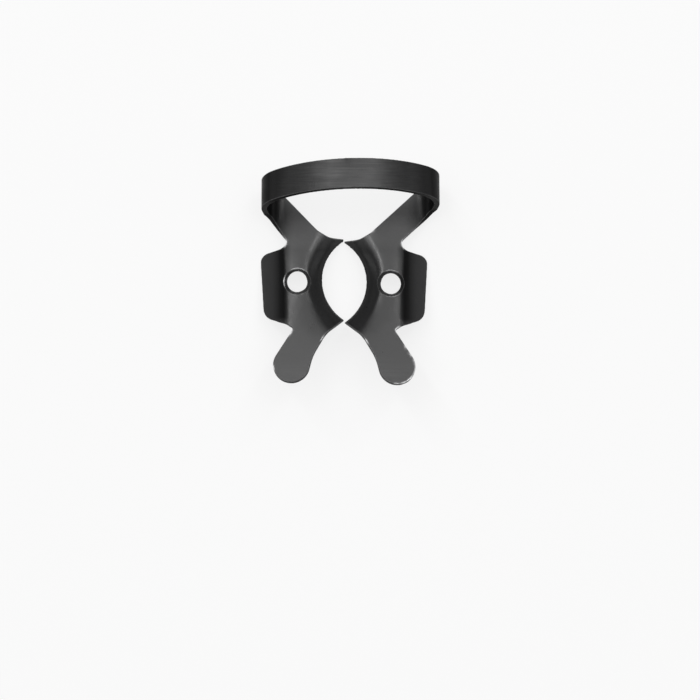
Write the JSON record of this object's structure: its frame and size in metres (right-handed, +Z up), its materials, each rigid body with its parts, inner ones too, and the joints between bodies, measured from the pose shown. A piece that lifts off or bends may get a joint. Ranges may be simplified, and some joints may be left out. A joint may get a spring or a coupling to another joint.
{
  "type": "rubber dam clamp",
  "caption": "Winged molar rubber dam clamp bent from one piece of dark spring steel sheet, with an arched bow, folded wings and forceps holes.",
  "frame": {"origin": "centre of the bounding box, on the ground it rests on", "axes": "+Y from the jaws to the bow, +X to the right seen from above, +Z up"},
  "size_m": [0.0206, 0.0258, 0.0113],
  "materials": {
    "spring_steel": "satin black oxide, with lighter worn edges and bends"
  },
  "bodies": {
    "root": {"dam_clamp": "spring_steel"}
  },
  "joints": []
}
